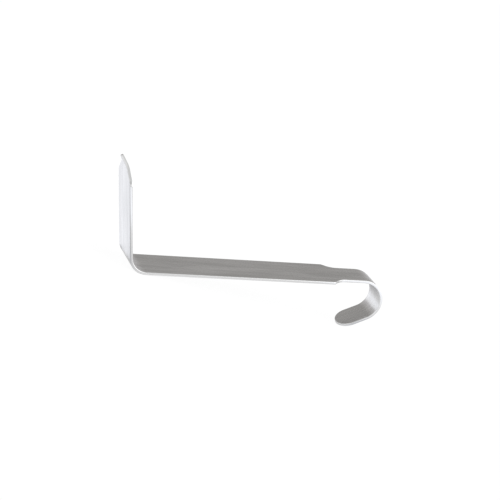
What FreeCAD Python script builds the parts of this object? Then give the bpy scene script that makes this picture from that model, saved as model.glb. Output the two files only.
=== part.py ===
import FreeCAD, Part

import math
import os

from FreeCAD import Vector

# Handheld surgical retractor: one strip of steel with a pointed blade at one end, a flat
# handle in the middle and a narrow hook at the other end.
# It is drawn in its own side view first, X along the handle from blade to hook and Z up,
# and the finished strip is then turned to the pose in which it stands on a table.
# Lengths are in millimetres and angles in degrees.

# The strip
strip_thickness = 2.0
strip_width = 30.0
hook_width = 20.0
edge_rounding = 0.4

# The handle, from the end of the blade's bend to the start of the hook
handle_length = 160.0
neck_to_hook = 14.0
neck_inner_radius = 12.0
neck_outer_radius = 2.5

# The blade's bend, on the strip's middle line
blade_bend_radius = 12.0
blade_bend_turn = 80.0

# The blade, from its bend to its point
blade_length = 67.2
point_angle = 90.0
point_radius = 1.6
shoulder_radius = 6.0
lip_length = 7.8
lip_bend_radius = 8.0
lip_turn = 21.5

# The hook, which closes a little towards its end
hook_first_radius = 16.5
hook_first_turn = 72.0
hook_second_radius = 13.5
hook_second_turn = 83.0
hook_end_length = 20.0

# Room that a cutting outline has past the strip
spare = 5.0

# Faces that meet at more than this angle make a corner to be rounded
sharp_corner = 30.0

# Two points closer than this are one point
same_place = 0.000001


def straight(length):
    """A step that goes straight on."""
    return {"length": length, "radius": None, "turn": 0.0}


def bend(radius, turn):
    """A step round an arc, on the middle line. A positive turn goes to the left."""
    return {"length": None, "radius": radius, "turn": turn}


def ahead(heading):
    """The unit direction of a heading, in the side view."""
    return Vector(math.cos(math.radians(heading)), 0, math.sin(math.radians(heading)))


def left_of(heading):
    """The unit direction to the left of a heading."""
    return ahead(heading + 90)


def bend_centre(start, heading, step):
    """The centre of a bend that starts at a point with a heading."""
    return start + left_of(heading) * math.copysign(step["radius"], step["turn"])


def after(start, heading, step):
    """Where the middle line is, and its heading, after one step."""
    if step["radius"] is None:
        return start + ahead(heading) * step["length"], heading
    side = math.copysign(step["radius"], step["turn"])
    centre = bend_centre(start, heading, step)
    new_heading = heading + step["turn"]
    return centre - left_of(new_heading) * side, new_heading


def end_of(start, heading, steps):
    """Where a run of steps ends, and its heading there."""
    for step in steps:
        start, heading = after(start, heading, step)
    return start, heading


def face_line(start, heading, steps, offset):
    """The edges of the strip's face at an offset to the left of the middle line."""
    edges = []
    for step in steps:
        end, new_heading = after(start, heading, step)
        first = start + left_of(heading) * offset
        last = end + left_of(new_heading) * offset
        if step["radius"] is None:
            edges.append(Part.LineSegment(first, last).toShape())
        else:
            half = dict(step, turn=step["turn"] / 2)
            middle, half_heading = after(start, heading, half)
            middle = middle + left_of(half_heading) * offset
            edges.append(Part.Arc(first, middle, last).toShape())
        start, heading = end, new_heading
    return edges


def ribbon(start, heading, steps):
    """The strip along a run of steps, a little wider than it ends up."""
    half = strip_thickness / 2
    last, last_heading = end_of(start, heading, steps)
    edges = face_line(start, heading, steps, half) + face_line(start, heading, steps, -half)
    for place, turned in ((start, heading), (last, last_heading)):
        across = left_of(turned) * half
        edges.append(Part.LineSegment(place + across, place - across).toShape())
    face = Part.Face(Part.Wire(Part.__sortEdges__(edges)))
    wide = strip_width + 2 * spare
    face.translate(Vector(0, -wide / 2, 0))
    return face.extrude(Vector(0, wide, 0))


def mirrored_outline(upper):
    """A closed flat outline from its upper edges, in XY, and their mirror images."""
    lower = [edge.mirror(Vector(0, 0, 0), Vector(0, 1, 0)) for edge in upper]
    tail = upper[0].Vertexes[0].Point
    edges = upper + lower
    edges.append(Part.LineSegment(tail, Vector(tail.x, -tail.y, 0)).toShape())
    nose = upper[-1].Vertexes[-1].Point
    if nose.y > same_place:
        edges.append(Part.LineSegment(nose, Vector(nose.x, -nose.y, 0)).toShape())
    return Part.Face(Part.Wire(Part.__sortEdges__(edges)))


def cut_through(outline, start, heading, reach):
    """A flat outline stood on the strip's middle line at a place, as thick as its reach."""
    flat = outline.copy()
    flat.translate(Vector(0, 0, -reach))
    block = flat.extrude(Vector(0, 0, 2 * reach))
    block.rotate(Vector(0, 0, 0), Vector(0, 1, 0), -heading)
    block.translate(start)
    return block


def blade_outline():
    """The blade laid flat, from its bend to its point, with rounded shoulders."""
    half_width = strip_width / 2
    slope = point_angle / 2
    sine, cosine = math.sin(math.radians(slope)), math.cos(math.radians(slope))
    nose_centre = blade_length - point_radius
    apex = nose_centre + point_radius / sine
    shoulder_line = apex - half_width * cosine / sine
    shoulder_start = shoulder_line - shoulder_radius * math.tan(math.radians(slope / 2))
    half_turn = math.radians(slope / 2)
    shoulder_middle = Vector(
        shoulder_start + shoulder_radius * math.sin(half_turn),
        half_width - shoulder_radius * (1 - math.cos(half_turn)),
        0,
    )
    shoulder_end = Vector(
        shoulder_start + shoulder_radius * sine,
        half_width - shoulder_radius * (1 - cosine),
        0,
    )
    nose_start = Vector(nose_centre + point_radius * sine, point_radius * cosine, 0)
    nose_turn = math.radians((90 - slope) / 2)
    nose_middle = Vector(
        nose_centre + point_radius * math.cos(nose_turn), point_radius * math.sin(nose_turn), 0
    )
    return mirrored_outline(
        [
            Part.LineSegment(Vector(0, half_width, 0), Vector(shoulder_start, half_width, 0)).toShape(),
            Part.Arc(Vector(shoulder_start, half_width, 0), shoulder_middle, shoulder_end).toShape(),
            Part.LineSegment(shoulder_end, nose_start).toShape(),
            Part.Arc(nose_start, nose_middle, Vector(blade_length, 0, 0)).toShape(),
        ]
    )


def handle_outline():
    """The bend, handle and hook from above: the full width, the neck and the hook's width."""
    half_width, half_hook = strip_width / 2, hook_width / 2
    narrow_from = handle_length - neck_to_hook
    radii = neck_inner_radius + neck_outer_radius
    turn = math.acos(1 - (half_width - half_hook) / radii)
    neck_from = narrow_from - radii * math.sin(turn)
    meeting = Vector(
        neck_from + neck_outer_radius * math.sin(turn),
        half_width - neck_outer_radius * (1 - math.cos(turn)),
        0,
    )
    outer_middle = Vector(
        neck_from + neck_outer_radius * math.sin(turn / 2),
        half_width - neck_outer_radius * (1 - math.cos(turn / 2)),
        0,
    )
    inner_middle = Vector(
        narrow_from - neck_inner_radius * math.sin(turn / 2),
        half_hook + neck_inner_radius * (1 - math.cos(turn / 2)),
        0,
    )
    back = -(blade_bend_radius + strip_thickness + spare)
    front = handle_length + hook_first_radius + strip_thickness + spare
    return mirrored_outline(
        [
            Part.LineSegment(Vector(back, half_width, 0), Vector(neck_from, half_width, 0)).toShape(),
            Part.Arc(Vector(neck_from, half_width, 0), outer_middle, meeting).toShape(),
            Part.Arc(meeting, inner_middle, Vector(narrow_from, half_hook, 0)).toShape(),
            Part.LineSegment(Vector(narrow_from, half_hook, 0), Vector(front, half_hook, 0)).toShape(),
        ]
    )


def hook_end_outline():
    """The hook's flat end, which finishes in a full round."""
    half_hook = hook_width / 2
    round_from = hook_end_length - half_hook
    round_middle = half_hook * math.sqrt(0.5)
    return mirrored_outline(
        [
            Part.LineSegment(Vector(0, half_hook, 0), Vector(round_from, half_hook, 0)).toShape(),
            Part.Arc(
                Vector(round_from, half_hook, 0),
                Vector(round_from + round_middle, round_middle, 0),
                Vector(hook_end_length, 0, 0),
            ).toShape(),
        ]
    )


def blade_foot():
    """Where the flat blade begins, and its heading towards its point."""
    return end_of(Vector(0, 0, 0), 180, [bend(blade_bend_radius, -blade_bend_turn)])


def handle_to_hook_end():
    """The steps from the blade's bend to the hook's straight end."""
    return [
        straight(handle_length),
        bend(hook_first_radius, -hook_first_turn),
        bend(hook_second_radius, -hook_second_turn),
    ]


def handle_and_hook():
    """The blade's bend, the handle, the neck and the hook's two arcs."""
    foot, heading = blade_foot()
    steps = [bend(blade_bend_radius, blade_bend_turn)] + handle_to_hook_end()
    strip = ribbon(foot, heading - 180, steps)
    reach = 2 * (hook_first_radius + blade_bend_radius) + strip_thickness
    return strip.common(cut_through(handle_outline(), Vector(0, 0, 0), 0, reach))


def blade():
    """The flat blade and its turned-out lip, cut to its point."""
    foot, heading = blade_foot()
    steps = [
        straight(blade_length - lip_length),
        bend(lip_bend_radius, lip_turn),
        straight(lip_length + spare),
    ]
    strip = ribbon(foot, heading, steps)
    return strip.common(cut_through(blade_outline(), foot, heading, blade_length))


def hook_end():
    """The straight end of the hook, cut to its round."""
    foot, heading = end_of(Vector(0, 0, 0), 0, handle_to_hook_end())
    strip = ribbon(foot, heading, [straight(hook_end_length + spare)])
    return strip.common(cut_through(hook_end_outline(), foot, heading, strip_thickness))


def is_sharp(solid, edge):
    """Whether the two faces that meet in an edge turn a corner there."""
    faces = solid.ancestorsOfType(edge, Part.Face)
    if len(faces) != 2:
        return False
    middle = edge.valueAt((edge.FirstParameter + edge.LastParameter) / 2)
    first, second = [face.normalAt(*face.Surface.parameter(middle)) for face in faces]
    return math.degrees(first.getAngle(second)) > sharp_corner


def rounded(solid):
    """The solid with all the corners along its rim rounded and polished."""
    rim = [edge for edge in solid.Edges if is_sharp(solid, edge)]
    return solid.makeFillet(edge_rounding, rim).Solids[0]


def standing(solid):
    """The strip turned about Y so that it stands on the blade's bend and the hook's end."""
    bend_middle = Vector(0, 0, blade_bend_radius)
    outer_radius = blade_bend_radius + strip_thickness / 2
    steps = handle_to_hook_end() + [straight(hook_end_length - edge_rounding)]
    tip, heading = end_of(Vector(0, 0, 0), 0, steps)
    rim_middle = tip + left_of(heading) * (strip_thickness / 2 - edge_rounding)
    between = rim_middle - bend_middle
    slope = math.degrees(math.atan2(between.z, between.x))
    closing = math.degrees(math.asin((outer_radius - edge_rounding) / between.Length))
    solid.rotate(Vector(0, 0, 0), Vector(0, 1, 0), slope + closing)
    box = solid.optimalBoundingBox(False)
    solid.translate(Vector(-box.Center.x, -box.Center.y, -box.ZMin))
    return solid


def retractor():
    """The whole strip in one solid."""
    joined = blade().fuse([handle_and_hook(), hook_end()]).removeSplitter()
    return standing(rounded(joined.Solids[0]))


os.makedirs("parts", exist_ok=True)
shape = retractor()
print("valid", shape.isValid(), "solids", len(shape.Solids), "volume", round(shape.Volume, 1))
print("box", shape.optimalBoundingBox(False))
shape.exportStep("parts/retractor.step")
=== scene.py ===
# %% [markdown]
# # A hand retractor, bent from one strip of steel
#
# The real instrument starts as a flat blank: its outline is cut from 2 mm stainless sheet,
# ground lengthwise to a satin face, rounded along its rim, and only then bent in a press.
# This file makes it in the same order. First comes a flat blank with true edges, then a small
# Geometry Nodes tree that bends it, then the two finishes, the light and the camera.
# The solid model made beforehand is loaded first. It is the frame that everything has to fit.

import math

import bmesh
import bpy
import numpy as np
from mathutils import Matrix, Vector


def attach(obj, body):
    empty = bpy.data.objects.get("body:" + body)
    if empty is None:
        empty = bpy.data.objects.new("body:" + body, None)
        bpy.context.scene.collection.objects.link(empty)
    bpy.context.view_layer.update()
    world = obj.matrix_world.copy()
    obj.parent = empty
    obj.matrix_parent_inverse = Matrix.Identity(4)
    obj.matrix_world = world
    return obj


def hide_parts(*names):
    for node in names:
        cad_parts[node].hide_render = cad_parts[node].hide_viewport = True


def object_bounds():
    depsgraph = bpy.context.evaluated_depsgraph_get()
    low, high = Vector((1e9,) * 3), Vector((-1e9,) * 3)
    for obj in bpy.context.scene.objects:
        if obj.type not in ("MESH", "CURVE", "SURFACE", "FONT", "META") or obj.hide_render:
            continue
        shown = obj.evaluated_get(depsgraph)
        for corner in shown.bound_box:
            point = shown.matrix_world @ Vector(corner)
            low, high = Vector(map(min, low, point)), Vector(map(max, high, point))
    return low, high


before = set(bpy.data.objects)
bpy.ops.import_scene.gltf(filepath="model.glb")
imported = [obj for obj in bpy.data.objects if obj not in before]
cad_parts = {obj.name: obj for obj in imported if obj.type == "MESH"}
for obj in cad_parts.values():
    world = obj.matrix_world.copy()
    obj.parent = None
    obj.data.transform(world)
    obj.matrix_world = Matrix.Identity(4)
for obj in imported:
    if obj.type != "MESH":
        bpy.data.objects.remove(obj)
cad_low, cad_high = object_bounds()
print("solid model, mm:", [round(1000 * (high - low), 2) for low, high in zip(cad_low, cad_high)])

# %% [markdown]
# ## The sizes
#
# A maker's drawing of this piece has two kinds of size: those of the flat blank, and those of
# the bends. They are the same values as in the solid model, written once here in millimetres
# and degrees. Everything below is worked out from them. Blender works in metres, so a length
# is multiplied by `MM` where it becomes geometry.

# %% Sizes of the blank and of the bends
MM = 0.001

thickness = 2.0
strip_width = 30.0
hook_width = 20.0
edge_rounding = 0.4

blade_length = 67.2
point_angle = 90.0
point_radius = 1.6
shoulder_radius = 6.0
lip_length = 7.8
lip_radius = 8.0
lip_turn = 21.5

corner_radius = 12.0
corner_turn = 80.0

handle_length = 160.0
neck_to_hook = 14.0
neck_inner_radius = 12.0
neck_outer_radius = 2.5

hook_first_radius = 16.5
hook_first_turn = 72.0
hook_second_radius = 13.5
hook_second_turn = 83.0
hook_end_length = 20.0


def arc_length(radius, turn):
    """The length of strip that a bend takes up, on its middle line."""
    return radius * math.radians(turn)


lip_rise = lip_radius * math.sin(math.radians(lip_turn))
lip_straight = (lip_length - lip_rise) / math.cos(math.radians(lip_turn))
lip_start = blade_length - lip_length
blade_strip = lip_start + arc_length(lip_radius, lip_turn) + lip_straight
handle_start = blade_strip + arc_length(corner_radius, corner_turn)
hook_start = handle_start + handle_length
hook_change = hook_start + arc_length(hook_first_radius, hook_first_turn)
hook_end_start = hook_change + arc_length(hook_second_radius, hook_second_turn)
strip_length = hook_end_start + hook_end_length
print("length of the flat blank, mm:", round(strip_length, 1))

# %% [markdown]
# ## The blank's outline
#
# Half of the outline is enough, because the strip is the same on both sides: from the blade's
# point over its shoulder, along the straight side, through the neck and round the hook's end.
# It is drawn with lines and arcs. The rim is rounded, so the outline is wanted again a little
# further in for each step of the rounding. An arc moved inwards keeps its centre and changes
# its radius, which is why `half_outline` takes an inset: every copy has the same number of
# points, and the copies can be joined point for point.
#
# The point runs over the turned-out lip. It was cut in the plane of the blade, so those points
# are laid out along the curve of the lip by `flattened`.

# %% Half of the outline, at any inset
row_spacing = 0.6
nose_points = 10
point_side_points = 24
shoulder_points = 12
neck_outer_points = 7
neck_inner_points = 18
hook_round_points = 36


def arc_points(centre, radius, start, end, count):
    """Points round an arc. Its angles start at the strip's own direction."""
    angles = np.radians(np.linspace(start, end, count))
    return np.stack([centre[0] + radius * np.cos(angles), centre[1] + radius * np.sin(angles)], 1)


def points_between(first, last, spacing):
    """Evenly spaced points on a straight side, without its two ends."""
    count = max(2, math.ceil(math.dist(first, last) / spacing))
    shares = np.linspace(0, 1, count + 1)[1:-1, None]
    return np.asarray(first) * (1 - shares) + np.asarray(last) * shares


def flattened(height):
    """How much strip there is from the blade's foot to a height above it."""
    above = height - lip_start
    if above <= 0:
        return height
    if above <= lip_rise:
        return lip_start + lip_radius * math.asin(above / lip_radius)
    turned = arc_length(lip_radius, lip_turn)
    return lip_start + turned + (above - lip_rise) / math.cos(math.radians(lip_turn))


def blade_end(inset):
    """The point, its side and its shoulder, as distance from the point and half width."""
    slope = point_angle / 2
    sine, cosine = math.sin(math.radians(slope)), math.cos(math.radians(slope))
    nose_centre = blade_length - point_radius
    apex = nose_centre + point_radius / sine
    shoulder_from = apex - strip_width / 2 * cosine / sine
    shoulder_from -= shoulder_radius * math.tan(math.radians(slope / 2))
    nose = arc_points((nose_centre, 0), point_radius - inset, 0, 90 - slope, nose_points)
    centre = (shoulder_from, strip_width / 2 - shoulder_radius)
    shoulder = arc_points(centre, shoulder_radius - inset, 90 - slope, 90, shoulder_points)
    side_steps = np.linspace(0, 1, point_side_points + 2)[1:-1, None]
    side = nose[-1] * (1 - side_steps) + shoulder[0] * side_steps
    found = np.concatenate([nose, side, shoulder])
    found[:, 0] = [blade_strip - flattened(height) for height in found[:, 0]]
    return found


def neck(inset):
    """The two tangent arcs that take the strip down to the hook's width."""
    narrow_from = handle_start + handle_length - neck_to_hook
    radii = neck_inner_radius + neck_outer_radius
    turn = math.degrees(math.acos(1 - (strip_width - hook_width) / 2 / radii))
    neck_from = narrow_from - radii * math.sin(math.radians(turn))
    outer_centre = (neck_from, strip_width / 2 - neck_outer_radius)
    inner_centre = (narrow_from, hook_width / 2 + neck_inner_radius)
    outer_radius, inner_radius = neck_outer_radius - inset, neck_inner_radius + inset
    outer = arc_points(outer_centre, outer_radius, 90, 90 - turn, neck_outer_points)
    inner = arc_points(inner_centre, inner_radius, 270 - turn, 270, neck_inner_points)
    return np.concatenate([outer, inner[1:]])


def hook_round(inset):
    """The full round at the hook's end."""
    centre = (strip_length - hook_width / 2, 0)
    return arc_points(centre, hook_width / 2 - inset, 90, 0, hook_round_points)


def half_outline(inset):
    """All of one side, from the blade's point to the hook's end."""
    blade, waist, end = blade_end(inset), neck(inset), hook_round(inset)
    side = points_between(blade[-1], waist[0], row_spacing)
    shank = points_between(waist[-1], end[0], row_spacing)
    return np.concatenate([blade, side, waist, shank, end])


print("points along one side:", len(half_outline(0)))

# %% [markdown]
# ## The blank as a mesh
#
# Each point of the outline becomes one closed ring round the strip: over the upper face, round
# one rim, back under the lower face and round the other rim. Rings side by side make quads.
# A narrow column just inside each rim holds the shading, so that the flat faces stay flat
# up to their edge. At the two ends the ring closes to nothing, and merging its doubles
# closes the mesh.
#
# Three things are kept with each vertex: the distance along the strip and across it, which
# become the UV map that the grain follows, and whether it is on the rounded rim. They stay
# true when the strip is bent, which object coordinates don't.

# %% The rounded rim in steps, and the columns of a face
rim_steps = 6
holding_column = 0.15
holding_share = 0.3
face_columns = np.linspace(-1, 1, 11)


def rim_levels():
    """Inset and height for each step round the rim, from the upper face to the lower."""
    flat_half = thickness / 2 - edge_rounding
    angles = np.linspace(0, math.pi / 2, rim_steps + 1)
    upper = [
        (edge_rounding * (1 - math.sin(angle)), flat_half + edge_rounding * math.cos(angle))
        for angle in angles
    ]
    return upper + [(inset, -height) for inset, height in reversed(upper)]


def face_positions(half_width):
    """Places across a face, from its left to its right, with a holding column at each rim."""
    hold = min(holding_column, holding_share * half_width)
    inner = (half_width - hold) * face_columns
    return np.concatenate([[-half_width], inner, [half_width]])


levels = rim_levels()
outlines = [half_outline(inset) for inset, _ in levels]
print("steps round the rim:", len(levels) - 1, " columns on a face:", len(face_columns) + 1)

# %% Rings of vertices, and quads between them
under_offset = strip_width + thickness
same_place = 1e-8


def ring(row):
    """One ring round the strip: along, sideways, height, rim and UV across, for each vertex."""
    along, half = outlines[0][row]
    top = thickness / 2
    face = face_positions(half)
    upper = [(along, y, top, 0.0, y) for y in face]
    lower = [(along, y, -top, 0.0, under_offset - y) for y in face[::-1]]
    right, left = [], []
    for number in range(1, len(levels) - 1):
        place, width = outlines[number][row]
        height = levels[number][1]
        share = (top - height) / thickness
        right.append((place, width, height, 1.0, width + share * (under_offset - 2 * width)))
        left.append((place, -width, height, 1.0, -width + share * (under_offset + 2 * width)))
    return upper + right + lower + left[::-1]


def flat_blank():
    """The blank as a closed mesh, lying flat along X with its middle plane at Z 0."""
    rows = [ring(row) for row in range(len(outlines[0]))]
    mesh = bmesh.new()
    names = ("along", "across", "rim")
    layers = {name: mesh.verts.layers.float.new(name) for name in names}
    grid = []
    for row in rows:
        line = []
        for along, y, height, rim, across in row:
            vertex = mesh.verts.new((along * MM, y * MM, height * MM))
            for name, value in zip(names, (along, across, rim)):
                vertex[layers[name]] = value
            line.append(vertex)
        grid.append(line)
    for first, second in zip(grid, grid[1:]):
        for column in range(len(first)):
            after = (column + 1) % len(first)
            mesh.faces.new((first[column], second[column], second[after], first[after]))
    bmesh.ops.remove_doubles(mesh, verts=mesh.verts, dist=same_place)
    bmesh.ops.dissolve_degenerate(mesh, edges=mesh.edges, dist=same_place)
    bmesh.ops.recalc_face_normals(mesh, faces=mesh.faces)
    made = bpy.data.meshes.new("blank")
    mesh.to_mesh(made)
    mesh.free()
    return made


def lay_out_uv(mesh, name):
    """A UV map in metres of strip: U along it and V across it, so a pattern has its true scale."""
    along = mesh.attributes["along"].data
    across = mesh.attributes["across"].data
    layer = mesh.uv_layers.new(name=name)
    for loop in mesh.loops:
        place = (along[loop.vertex_index].value, across[loop.vertex_index].value)
        layer.data[loop.index].uv = (place[0] * MM, place[1] * MM)


blank_mesh = flat_blank()
lay_out_uv(blank_mesh, "strip")
open_edges = len(blank_mesh.edges) - sum(len(face.vertices) for face in blank_mesh.polygons) / 2
print("blank:", len(blank_mesh.polygons), "faces, open edges:", open_edges)

# %% [markdown]
# ## Finishes
#
# The faces are satin: ground with a fine belt along the strip, so they carry hair-thin lines
# that blur a reflection sideways but leave it fairly sharp lengthwise. The rim is buffed, so
# it is smoother and catches the light. Both share the same effects, made once as node groups:
# `belt_grain` for the lines, `buffing` for the slow changes of tone and the slight waves that
# hand polishing leaves, and `hairlines` for the few scratches of handling. A group gives only
# a mask or a value, and each material decides what it does with it.

# %% Helpers that add nodes and groups and join their inputs


def add_node(tree, kind, inputs=None, **settings):
    """A new node. An input is a value, or an output socket to join it to."""
    node = tree.nodes.new(kind)
    for name, value in settings.items():
        setattr(node, name, value)
    for name, value in (inputs or {}).items():
        if isinstance(value, bpy.types.NodeSocket):
            tree.links.new(value, node.inputs[name])
        else:
            node.inputs[name].default_value = value
    return node


def new_group(name, kind, inputs, outputs):
    """An empty node group with named sockets, and its input and output nodes."""
    tree = bpy.data.node_groups.new(name, kind)
    for label, socket, value in inputs:
        made = tree.interface.new_socket(label, in_out="INPUT", socket_type=socket)
        if value is not None:
            made.default_value = value
    for label, socket in outputs:
        tree.interface.new_socket(label, in_out="OUTPUT", socket_type=socket)
    return tree, tree.nodes.new("NodeGroupInput"), tree.nodes.new("NodeGroupOutput")


def use_group(tree, group, inputs):
    """A group placed in a material or in another group."""
    node = tree.nodes.new("ShaderNodeGroup" if group.type == "SHADER" else "GeometryNodeGroup")
    node.node_tree = group
    for name, value in inputs.items():
        if isinstance(value, bpy.types.NodeSocket):
            tree.links.new(value, node.inputs[name])
        else:
            node.inputs[name].default_value = value
    return node


def times(tree, first, second):
    """Two numbers multiplied."""
    return add_node(tree, "ShaderNodeMath", {0: first, 1: second}, operation="MULTIPLY").outputs[0]


def plus(tree, first, second):
    """Two numbers added."""
    return add_node(tree, "ShaderNodeMath", {0: first, 1: second}, operation="ADD").outputs[0]


# %% The three shared effects
# A scale is how often a pattern changes in a metre, along the strip and across it.
VECTOR, NUMBER = "NodeSocketVector", "NodeSocketFloat"
grain_noise = (0.3, 0.7)
streak_scale = (10, 300, 1)
patch_scale = (22, 90, 1)
tone_noise = (0.72, 1.28)
hairline_scale = (70, 2600, 1)
hairline_full = 0.8


def stretch(tree, place, scale):
    """A place with each of its directions scaled by its own number."""
    scaled = add_node(tree, "ShaderNodeVectorMath", {0: place, 1: scale}, operation="MULTIPLY")
    return scaled.outputs[0]


def spread_out(tree, value, limits):
    """A value between two limits, spread to lie between 0 and 1."""
    low, high = limits
    spread = {"Value": value, "From Min": low, "From Max": high}
    return add_node(tree, "ShaderNodeMapRange", spread).outputs[0]


def belt_grain_group():
    """Long thin lines: noise that is fine across the strip and drawn out along it."""
    tree, given, result = new_group(
        "belt_grain",
        "ShaderNodeTree",
        [
            ("Place", VECTOR, None),
            ("Lines per metre", NUMBER, 4000),
            ("Length of a line", NUMBER, 0.02),
        ],
        [("Grain", NUMBER)],
    )
    along = add_node(
        tree, "ShaderNodeMath", {0: 1.0, 1: given.outputs["Length of a line"]}, operation="DIVIDE"
    )
    scale = add_node(
        tree,
        "ShaderNodeCombineXYZ",
        {"X": along.outputs[0], "Y": given.outputs["Lines per metre"], "Z": 1.0},
    )
    stretched = stretch(tree, given.outputs["Place"], scale.outputs[0])
    lines = add_node(
        tree,
        "ShaderNodeTexNoise",
        {"Vector": stretched, "Scale": 1.0, "Detail": 3.0, "Roughness": 0.6},
    )
    tree.links.new(spread_out(tree, lines.outputs[0], grain_noise), result.inputs["Grain"])
    return tree


def buffing_group():
    """Slow changes of tone, in broad streaks and long patches, and waves in the same patches."""
    tree, given, result = new_group(
        "buffing",
        "ShaderNodeTree",
        [("Place", VECTOR, None)],
        [("Tone", NUMBER), ("Waves", NUMBER)],
    )
    streaks = stretch(tree, given.outputs["Place"], streak_scale)
    broad = add_node(tree, "ShaderNodeTexNoise", {"Vector": streaks, "Scale": 1.0, "Detail": 2.0})
    patches = stretch(tree, given.outputs["Place"], patch_scale)
    cloud = add_node(tree, "ShaderNodeTexNoise", {"Vector": patches, "Scale": 1.0, "Detail": 2.0})
    both = plus(tree, broad.outputs[0], cloud.outputs[0])
    tree.links.new(spread_out(tree, both, tone_noise), result.inputs["Tone"])
    tree.links.new(cloud.outputs[0], result.inputs["Waves"])
    return tree


def hairlines_group():
    """A few thin scratches that cross the grain at an angle."""
    tree, given, result = new_group(
        "hairlines",
        "ShaderNodeTree",
        [("Place", VECTOR, None), ("Angle", NUMBER, 0.4), ("Least", NUMBER, 0.7)],
        [("Scratch", NUMBER)],
    )
    turned = add_node(
        tree,
        "ShaderNodeVectorRotate",
        {"Vector": given.outputs["Place"], "Angle": given.outputs["Angle"]},
        rotation_type="Z_AXIS",
    )
    drawn = stretch(tree, turned.outputs[0], hairline_scale)
    field = add_node(tree, "ShaderNodeTexNoise", {"Vector": drawn, "Scale": 1.0, "Detail": 1.0})
    limits = (given.outputs["Least"], hairline_full)
    tree.links.new(spread_out(tree, field.outputs[0], limits), result.inputs["Scratch"])
    return tree


belt_grain = belt_grain_group()
buffing = buffing_group()
hairlines = hairlines_group()

# %% The two finishes
lengthwise = 0.25
rough_spread = 0.15
scratch_rough = 0.1
scratch_depth = 0.8
grain_height = 0.00002


def mix_range(tree, value, low, high):
    """A number from 0 to 1, spread between two values."""
    spread = add_node(tree, "ShaderNodeMapRange", {"Value": value, "To Min": low, "To Max": high})
    return spread.outputs[0]


def steel(name, colour, polish, grain_depth, wave_depth, streak, mottle, anisotropy):
    """One finish of the same steel. Its polish is a roughness, its streak and mottle are tones."""
    material = bpy.data.materials.new(name)
    material.use_nodes = True
    tree = material.node_tree
    shader = tree.nodes["Principled BSDF"]
    shader.inputs["Metallic"].default_value = 1.0
    shader.inputs["Anisotropic"].default_value = anisotropy
    shader.inputs["Anisotropic Rotation"].default_value = lengthwise
    tangent = add_node(tree, "ShaderNodeTangent", direction_type="UV_MAP", uv_map="strip")
    tree.links.new(tangent.outputs[0], shader.inputs["Tangent"])

    place = add_node(tree, "ShaderNodeUVMap", uv_map="strip").outputs[0]
    grain = use_group(tree, belt_grain, {"Place": place}).outputs[0]
    buffed = use_group(tree, buffing, {"Place": place})
    tone = buffed.outputs["Tone"]
    scratch = use_group(tree, hairlines, {"Place": place}).outputs[0]

    bright = times(
        tree,
        mix_range(tree, grain, 1 - streak, 1 + streak),
        mix_range(tree, tone, 1 - mottle, 1 + mottle),
    )
    plain = add_node(tree, "ShaderNodeCombineXYZ", {"X": bright, "Y": bright, "Z": bright})
    tree.links.new(stretch(tree, plain.outputs[0], colour), shader.inputs["Base Color"])

    lined = mix_range(tree, grain, polish * (1 - rough_spread), polish * (1 + rough_spread))
    rough = plus(tree, lined, times(tree, scratch, scratch_rough))
    tree.links.new(rough, shader.inputs["Roughness"])

    waves = add_node(
        tree,
        "ShaderNodeBump",
        {"Strength": 1.0, "Distance": wave_depth, "Height": buffed.outputs["Waves"]},
    )
    relief = {
        "Strength": grain_depth,
        "Distance": grain_height,
        "Height": plus(tree, grain, times(tree, scratch, -scratch_depth)),
        "Normal": waves.outputs[0],
    }
    bump = add_node(tree, "ShaderNodeBump", relief)
    tree.links.new(bump.outputs[0], shader.inputs["Normal"])
    return material


satin_face = steel(
    "satin_face",
    (0.80, 0.795, 0.79),
    polish=0.26,
    grain_depth=0.25,
    wave_depth=0.0005,
    streak=0.03,
    mottle=0.10,
    anisotropy=0.5,
)
buffed_rim = steel(
    "buffed_rim",
    (0.84, 0.84, 0.84),
    polish=0.14,
    grain_depth=0.05,
    wave_depth=0.0,
    streak=0.01,
    mottle=0.03,
    anisotropy=0.0,
)
print("finishes:", satin_face.name, buffed_rim.name)

# %% [markdown]
# ## The bending press
#
# The strip's side view is a rule: it goes straight on, except in four places where it turns
# at an even rate. So its heading at any distance is a sum of four ramps, each 0 before its
# bend, growing over it and staying at its full turn after it. `heading_at` is that sum.
#
# The tree walks the middle line in tiny steps. Each step points along its heading, and
# Accumulate Field adds the steps up, which gives a curve. Every vertex of the blank then
# takes its place from that curve: its distance along picks the point, its width goes
# sideways, and its height goes square to the heading. It could also be done with a Curve
# modifier, but that one has no say over a bend's radius, and it stretches the strip.

# %% The heading as a sum of ramps
bends = {
    "Lip": (lip_straight, arc_length(lip_radius, lip_turn), -lip_turn),
    "Corner": (blade_strip, arc_length(corner_radius, corner_turn), corner_turn),
    "Hook": (hook_start, arc_length(hook_first_radius, hook_first_turn), -hook_first_turn),
    "Hook end": (hook_change, arc_length(hook_second_radius, hook_second_turn), -hook_second_turn),
}
start_heading = lip_turn - corner_turn


def bend_sockets():
    """The named inputs for all the bends."""
    found = [("Start heading", NUMBER, 0.0)]
    for name in bends:
        found += [(f"{name} {part}", NUMBER, 0.0) for part in ("start", "length", "turn")]
    return found


def heading_group():
    """The strip's heading at a distance from the blade's point."""
    tree, given, result = new_group(
        "heading_at",
        "GeometryNodeTree",
        [("Distance", NUMBER, 0.0)] + bend_sockets(),
        [("Heading", NUMBER)],
    )
    heading = given.outputs["Start heading"]
    for name in bends:
        past = add_node(
            tree,
            "ShaderNodeMath",
            {0: given.outputs["Distance"], 1: given.outputs[f"{name} start"]},
            operation="SUBTRACT",
        )
        ramp = add_node(
            tree,
            "ShaderNodeMapRange",
            {
                "Value": past.outputs[0],
                "From Max": given.outputs[f"{name} length"],
                "To Max": given.outputs[f"{name} turn"],
            },
        )
        heading = plus(tree, heading, ramp.outputs[0])
    tree.links.new(heading, result.inputs["Heading"])
    return tree


heading_at = heading_group()

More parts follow.
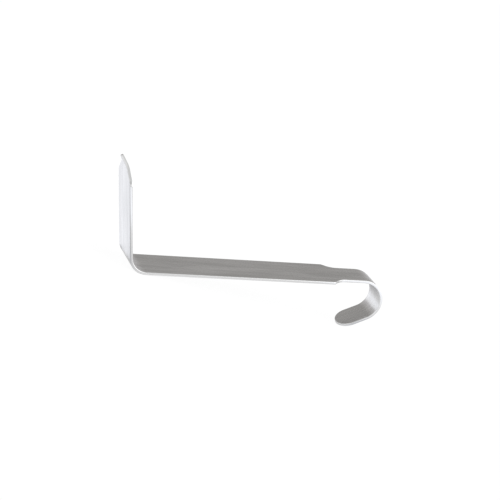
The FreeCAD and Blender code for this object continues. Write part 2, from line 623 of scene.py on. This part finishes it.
# %% The tree that bends the blank
walk_step = 0.1
on_the_rim = 0.25


def direction_of(tree, heading, turned, length):
    """A vector in the side view, along the heading or square to it on its left."""
    sine = add_node(tree, "ShaderNodeMath", {0: heading}, operation="SINE").outputs[0]
    cosine = add_node(tree, "ShaderNodeMath", {0: heading}, operation="COSINE").outputs[0]
    x, z = (times(tree, sine, -1.0), cosine) if turned else (cosine, sine)
    flat = add_node(tree, "ShaderNodeCombineXYZ", {"X": x, "Z": z}).outputs[0]
    scaled = add_node(tree, "ShaderNodeVectorMath", {0: flat, "Scale": length}, operation="SCALE")
    return scaled.outputs[0]


def middle_line(tree, given, headings):
    """The strip's middle line as a curve, walked in even steps."""
    step = given.outputs["Walk step"]
    count = add_node(
        tree, "ShaderNodeMath", {0: given.outputs["Strip length"], 1: step}, operation="DIVIDE"
    )
    points = add_node(tree, "GeometryNodeMeshLine", {"Count": plus(tree, count.outputs[0], 2.0)})
    index = add_node(tree, "GeometryNodeInputIndex").outputs[0]
    halfway = times(tree, plus(tree, index, 0.5), step)
    heading = use_group(tree, heading_at, dict(headings, Distance=halfway)).outputs[0]
    total = add_node(
        tree,
        "GeometryNodeAccumulateField",
        {"Value": direction_of(tree, heading, False, step)},
        data_type="FLOAT_VECTOR",
    )
    walked = add_node(
        tree,
        "GeometryNodeSetPosition",
        {"Geometry": points.outputs[0], "Position": total.outputs["Trailing"]},
    )
    return add_node(tree, "GeometryNodeMeshToCurve", {"Mesh": walked.outputs[0]}).outputs[0]


def bending_tree():
    """The whole press, with named inputs for the strip and for each bend."""
    tree, given, result = new_group(
        "bending_press",
        "GeometryNodeTree",
        [
            ("Geometry", "NodeSocketGeometry", None),
            ("Strip length", NUMBER, 0.3),
            ("Walk step", NUMBER, 0.0001),
            ("Face finish", "NodeSocketMaterial", None),
            ("Rim finish", "NodeSocketMaterial", None),
        ]
        + bend_sockets(),
        [("Geometry", "NodeSocketGeometry")],
    )
    headings = {label: given.outputs[label] for label, _, _ in bend_sockets()}
    curve = middle_line(tree, given, headings)

    position = add_node(tree, "GeometryNodeInputPosition").outputs[0]
    flat = add_node(tree, "ShaderNodeSeparateXYZ", {0: position})
    on_line = add_node(
        tree,
        "GeometryNodeSampleCurve",
        {"Curves": curve, "Length": flat.outputs["X"]},
        mode="LENGTH",
    )
    heading = use_group(tree, heading_at, dict(headings, Distance=flat.outputs["X"])).outputs[0]
    lifted = direction_of(tree, heading, True, flat.outputs["Z"])
    sideways = add_node(tree, "ShaderNodeCombineXYZ", {"Y": flat.outputs["Y"]}).outputs[0]
    offset = add_node(tree, "ShaderNodeVectorMath", {0: lifted, 1: sideways}, operation="ADD")
    place = add_node(
        tree,
        "ShaderNodeVectorMath",
        {0: on_line.outputs["Position"], 1: offset.outputs[0]},
        operation="ADD",
    )
    bent = add_node(
        tree,
        "GeometryNodeSetPosition",
        {"Geometry": given.outputs["Geometry"], "Position": place.outputs[0]},
    )

    real = add_node(tree, "GeometryNodeRealizeInstances", {"Geometry": bent.outputs[0]})
    faces = add_node(
        tree,
        "GeometryNodeSetMaterial",
        {"Geometry": real.outputs[0], "Material": given.outputs["Face finish"]},
    )
    rim = add_node(tree, "GeometryNodeInputNamedAttribute", {"Name": "rim"}, data_type="FLOAT")
    on_rim = add_node(
        tree,
        "FunctionNodeCompare",
        {0: rim.outputs[0], 1: on_the_rim},
        data_type="FLOAT",
        operation="GREATER_THAN",
    )
    rims = add_node(
        tree,
        "GeometryNodeSetMaterial",
        {
            "Geometry": faces.outputs[0],
            "Selection": on_rim.outputs[0],
            "Material": given.outputs["Rim finish"],
        },
    )
    tree.links.new(rims.outputs[0], result.inputs["Geometry"])
    return tree


# %% The blank goes through the press


def press_settings():
    """The value of each named input, in metres and radians."""
    found = {
        "Strip length": strip_length * MM,
        "Walk step": walk_step * MM,
        "Face finish": satin_face,
        "Rim finish": buffed_rim,
        "Start heading": math.radians(start_heading),
    }
    for name, (start, length, turn) in bends.items():
        found[f"{name} start"] = start * MM
        found[f"{name} length"] = length * MM
        found[f"{name} turn"] = math.radians(turn)
    return found


def pressed(blank, tree):
    """The blank bent by the tree, as a plain mesh with no modifier left."""
    modifier = blank.modifiers.new("press", "NODES")
    modifier.node_group = tree
    settings = press_settings()
    for item in tree.interface.items_tree:
        if item.item_type == "SOCKET" and item.in_out == "INPUT" and item.name in settings:
            modifier[item.identifier] = settings[item.name]
    evaluated = blank.evaluated_get(bpy.context.evaluated_depsgraph_get())
    made = bpy.data.meshes.new_from_object(evaluated)
    blank.modifiers.clear()
    blank.data = made
    return blank


strip = bpy.data.objects.new("bent_strip", blank_mesh)
bpy.context.scene.collection.objects.link(strip)
pressed(strip, bending_tree())
strip.data.polygons.foreach_set("use_smooth", [True] * len(strip.data.polygons))
print("materials on the strip:", [material.name for material in strip.data.materials])

# %% [markdown]
# ## Standing it on the table
#
# The photograph shows it standing with its blade up, on the outside of the corner and on the
# tip of the hook. The press left its handle level, so the hook's tip is lower than the corner.
# Halving the range again and again finds the turn about Y at which both ends are equally low.
# The place then follows from the frame: lowest point on the table, middle at the origin.

# %% Turn and place
steepest = 45
halvings = 50


def lowest_ends(points, turn):
    """How much lower the blade's half is than the hook's half, after a turn."""
    heights = points[:, 0] * math.sin(turn) + points[:, 2] * math.cos(turn)
    middle = (points[:, 0].min() + points[:, 0].max()) / 2
    return heights[points[:, 0] < middle].min() - heights[points[:, 0] >= middle].min()


def standing_turn(points):
    """The turn at which both ends touch the table."""
    low, high = 0.0, math.radians(steepest)
    for _ in range(halvings):
        turn = (low + high) / 2
        if lowest_ends(points, turn) > 0:
            low = turn
        else:
            high = turn
    return turn


points = np.array([vertex.co for vertex in strip.data.vertices])
turn = standing_turn(points)
strip.data.transform(Matrix.Rotation(-turn, 4, "Y"))
points = np.array([vertex.co for vertex in strip.data.vertices])
middle = (points.min(0) + points.max(0)) / 2
strip.data.transform(Matrix.Translation((-middle[0], -middle[1], -points[:, 2].min())))
strip.data.update()
points = np.array([vertex.co for vertex in strip.data.vertices])
print("handle rises by", round(math.degrees(turn), 2), "degrees")
over = [points.min(0) - np.array(cad_low), points.max(0) - np.array(cad_high)]
print("off the solid's box, mm:", *[np.round(1000 * gap, 2) for gap in over])

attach(strip, "root")
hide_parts("retractor")

# %% [markdown]
# ## Floor, light and air
#
# Polished metal has hardly a colour of its own: it shows what stands round it. That is why a
# studio puts white and grey boards round such a piece. Following a line of sight to a face and
# on from it, as a mirror would send it, tells what each face has to meet. The handle's upper
# face looks up and back into something grey. The blade's back, the rim and the bright band in
# the hook look at something white, low down, with grey places between.
#
# So the sky is pale cloth all round with a grey gap behind the object and a smaller grey patch
# behind the camera, which the rim of the blade's shoulder looks at. A broad weak lamp stands
# at the right front. Round, soft, glowing patches of painted reflection lie in the floor, and
# only reflected rays see them. The grey ones paint dark reflections, some of them standing for
# the object's own shade and shadow on the floor, and the white ones paint bright reflections.
# To the camera the floor is plain white.

# %% The floor and the painted reflections that its mirror image shows
# The floor is white paint. To the camera, and less so to reflections, it also glows. That
# takes its open parts to full white and still leaves the object's soft shadow.
floor_half = 9.0
camera_share = 0.84
mirror_share = 0.35
glow_level = 1.09
paint_colour = (0.92, 0.92, 0.93, 1)
paint_roughness = 0.9

# The painted reflections: round glowing patches in the floor that only reflections see. The
# grey ones paint dark reflections, some of them standing for the object's own shade and shadow
# on the floor, and the white ones paint bright reflections. Each has its centre in metres, the
# radius where its soft edge starts, the radius where it ends, and its glow level. One that
# comes later lies over those before it.
painted_reflection_tint = (0.985, 1.0, 1.045, 1)
painted_reflections = {
    "painted bright reflection far behind": ((-0.140, 0.400, 0), 0.240, 0.300, 1.00),
    "painted bright reflection under the handle": ((0.052, 0.085, 0), 0.042, 0.070, 1.10),
    "painted dark reflection behind the hook": ((0.137, 0.060, 0), 0.018, 0.062, 0.44),
    "painted dark reflection before the hook": ((0.118, -0.018, 0), 0.015, 0.040, 0.62),
    "painted bright reflection before the hook": ((0.190, -0.150, 0), 0.050, 0.090, 1.15),
    "painted bright reflection before the handle": ((-0.050, -0.170, 0), 0.040, 0.080, 1.15),
    "painted dark reflection far behind the hook": ((0.42, 0.48, 0), 0.20, 0.38, 0.58),
    "painted bright reflection left of the blade": ((-0.4755, 0.075, 0), 0.397, 0.403, 1.08),
    "painted dark reflection before the blade": ((-0.145, -0.042, 0), 0.055, 0.084, 0.38),
    "painted dark reflection farther before the blade": ((-0.46, -0.36, 0), 0.34, 0.44, 0.50),
    "painted bright reflection behind the point": ((-0.045, 0.185, 0), 0.030, 0.050, 1.40),
    "painted dark reflection far left of the blade": ((-0.460, 0.030, 0), 0.240, 0.270, 0.45),
    "painted contact shade beside the bend": ((-0.0745, 0.021, 0), 0.003, 0.009, 0.50),
}


def on_painted_reflection(tree, centre, inner, outer):
    """1 on a round patch of painted reflection and 0 away from it, with a soft edge."""
    place = add_node(tree, "ShaderNodeTexCoord").outputs["Object"]
    away = add_node(tree, "ShaderNodeVectorMath", {0: place, 1: centre}, operation="DISTANCE")
    edge = {"From Min": inner, "From Max": outer, "To Min": 1.0, "To Max": 0.0}
    return add_node(
        tree,
        "ShaderNodeMapRange",
        dict(edge, Value=away.outputs["Value"]),
        interpolation_type="SMOOTHSTEP",
    ).outputs[0]


def layered(tree, mask, under, over):
    """One surface over another, where the mask is 1."""
    shares = {0: mask, 1: under.outputs[0], 2: over.outputs[0]}
    return add_node(tree, "ShaderNodeMixShader", shares)


def floor_material():
    """White paint that the camera sees as full white, with glowing patches of painted shade and
    brightness that only reflections see.
    """
    material = bpy.data.materials.new("white_floor")
    material.use_nodes = True
    tree = material.node_tree
    paint = tree.nodes["Principled BSDF"]
    paint.inputs["Roughness"].default_value = paint_roughness
    paint.inputs["Specular IOR Level"].default_value = 0.0
    paint.inputs["Base Color"].default_value = paint_colour

    seen = add_node(tree, "ShaderNodeLightPath")
    mirrored = add_node(
        tree,
        "ShaderNodeMath",
        {0: seen.outputs["Is Glossy Ray"], 1: seen.outputs["Is Transmission Ray"]},
        operation="MAXIMUM",
    ).outputs[0]
    to_camera = times(tree, seen.outputs["Is Camera Ray"], camera_share)
    share = plus(tree, to_camera, times(tree, mirrored, mirror_share))
    glow = add_node(tree, "ShaderNodeEmission", {"Color": (1, 1, 1, 1), "Strength": glow_level})
    white = layered(tree, share, paint, glow)
    # Painted reflections: each patch glows in the floor where only reflected rays meet it, grey
    # ones as painted shade and white ones as painted brightness.
    for centre, inner, outer, level in painted_reflections.values():
        reflection_glow = add_node(tree, "ShaderNodeEmission", {"Color": painted_reflection_tint, "Strength": level})
        mask = times(tree, on_painted_reflection(tree, centre, inner, outer), mirrored)
        white = layered(tree, mask, white, reflection_glow)
    tree.links.new(white.outputs[0], tree.nodes["Material Output"].inputs["Surface"])
    return material


floor_mesh = bpy.data.meshes.new("floor")
corners = [(x * floor_half, y * floor_half, 0) for x, y in ((-1, -1), (1, -1), (1, 1), (-1, 1))]
floor_mesh.from_pydata(corners, [], [(0, 1, 2, 3)])
floor_mesh.materials.append(floor_material())
floor = bpy.data.objects.new("floor", floor_mesh)
bpy.context.scene.collection.objects.link(floor)

# %% Sky and lamp
# The gap behind the object and the shade behind the camera each have a middle direction and,
# in degrees from it, where the soft edge starts and ends. The steps are heights, from 0 at
# the horizon to 1 overhead, each with its colour.
back_middle = (0.0, 0.90, 0.43)
back_inner = 38
back_outer = 66
back_steps = [
    (0.00, (0.93, 0.93, 0.96)),
    (0.06, (0.56, 0.55, 0.56)),
    (0.15, (0.48, 0.47, 0.48)),
    (0.30, (0.46, 0.452, 0.445)),
    (0.45, (0.31, 0.303, 0.295)),
    (0.70, (0.32, 0.314, 0.308)),
    (1.00, (0.54, 0.535, 0.53)),
]
shade_middle = (-0.165, -0.850, 0.50)
shade_inner = 16
shade_outer = 30
shade_colour = (0.58, 0.58, 0.58, 1)
cloth_steps = [
    (0.00, (0.97, 0.97, 0.98)),
    (0.55, (0.96, 0.96, 0.96)),
    (0.69, (0.80, 0.80, 0.80)),
    (0.91, (0.68, 0.68, 0.68)),
    (1.00, (0.65, 0.65, 0.65)),
]
key_direction = (0.70, -0.60, 0.37)
key_width = 60
key_strength = 0.7


def height_ramp(tree, height, steps):
    """A colour for each height in the sky, from the horizon to overhead."""
    ramp = add_node(tree, "ShaderNodeValToRGB", {"Fac": height})
    stops = ramp.color_ramp.elements
    while len(stops) < len(steps):
        stops.new(1.0)
    for stop, (position, colour) in zip(stops, steps):
        stop.position = position
        stop.color = (*colour, 1)
    return ramp.outputs[0]


def sky_patch(tree, direction, middle, inner, outer):
    """1 round a direction in the sky and 0 away from it, with a soft edge."""
    toward = Vector(middle).normalized()
    facing = add_node(
        tree, "ShaderNodeVectorMath", {0: direction, 1: toward}, operation="DOT_PRODUCT"
    )
    return add_node(
        tree,
        "ShaderNodeMapRange",
        {
            "Value": facing.outputs["Value"],
            "From Min": math.cos(math.radians(outer)),
            "From Max": math.cos(math.radians(inner)),
        },
        interpolation_type="SMOOTHSTEP",
    ).outputs[0]


def sky():
    """Pale cloth with a grey gap and a grey patch in it, and plain white to the camera."""
    world = bpy.data.worlds.new("studio")
    world.use_nodes = True
    bpy.context.scene.world = world
    tree = world.node_tree
    direction = add_node(tree, "ShaderNodeTexCoord").outputs["Generated"]
    height = add_node(tree, "ShaderNodeSeparateXYZ", {0: direction}).outputs["Z"]
    back, cloth = height_ramp(tree, height, back_steps), height_ramp(tree, height, cloth_steps)
    gap = sky_patch(tree, direction, back_middle, back_inner, back_outer)
    around = add_node(tree, "ShaderNodeMix", {"Factor": gap, 6: cloth, 7: back}, data_type="RGBA")
    shade = sky_patch(tree, direction, shade_middle, shade_inner, shade_outer)
    around = add_node(
        tree,
        "ShaderNodeMix",
        {"Factor": shade, 6: around.outputs[2], 7: shade_colour},
        data_type="RGBA",
    )
    seen = add_node(tree, "ShaderNodeLightPath").outputs["Is Camera Ray"]
    shown = add_node(
        tree,
        "ShaderNodeMix",
        {"Factor": seen, 6: around.outputs[2], 7: (1, 1, 1, 1)},
        data_type="RGBA",
    )
    tree.links.new(shown.outputs[2], tree.nodes["Background"].inputs["Color"])


def soft_lamp(name, toward, width, strength):
    """Even light from one side of the sky, as from a large cloth far away."""
    lamp = bpy.data.lights.new(name, "SUN")
    lamp.angle = math.radians(width)
    lamp.energy = strength
    holder = bpy.data.objects.new(name, lamp)
    holder.rotation_euler = Vector(toward).to_track_quat("Z", "Y").to_euler()
    bpy.context.scene.collection.objects.link(holder)


sky()
soft_lamp("key", key_direction, key_width, key_strength)

# %% [markdown]
# ## Camera
#
# The camera stands where the photograph was taken from, as far as the object's outlines tell:
# low, to the left of its front, and tilted to one side, which is why the handle falls to the
# right in the picture although it rises on the table.

# %% Camera
view_azimuth = 26.956
view_elevation = 15.535
view_roll = 24.725
view_distance = 1.0170
view_aim = (-0.0069, -0.0187, 0.0388)
sensor_width = 36.0
focal_length = 110.669


def camera_turn(azimuth, elevation, roll):
    """The camera's axes for a view direction and a tilt."""
    side, rise, tilt = (math.radians(angle) for angle in (azimuth, elevation, roll))
    ahead = Vector((math.sin(side), math.cos(side), 0))
    forward = ahead * math.cos(rise) - Vector((0, 0, math.sin(rise)))
    level = Vector((math.cos(side), -math.sin(side), 0))
    upright = level.cross(forward)
    right = level * math.cos(tilt) + upright * math.sin(tilt)
    up = upright * math.cos(tilt) - level * math.sin(tilt)
    return forward, Matrix((right, up, -forward)).transposed()


forward, axes = camera_turn(view_azimuth, view_elevation, view_roll)
lens = bpy.data.cameras.new("camera")
lens.sensor_width = sensor_width
lens.lens = focal_length
camera = bpy.data.objects.new("camera", lens)
camera.matrix_world = Matrix.Translation(Vector(view_aim) - forward * view_distance) @ axes.to_4x4()
bpy.context.scene.collection.objects.link(camera)
bpy.context.scene.camera = camera
bpy.context.scene.view_settings.view_transform = "Standard"
print("camera at, m:", [round(value, 3) for value in camera.location])
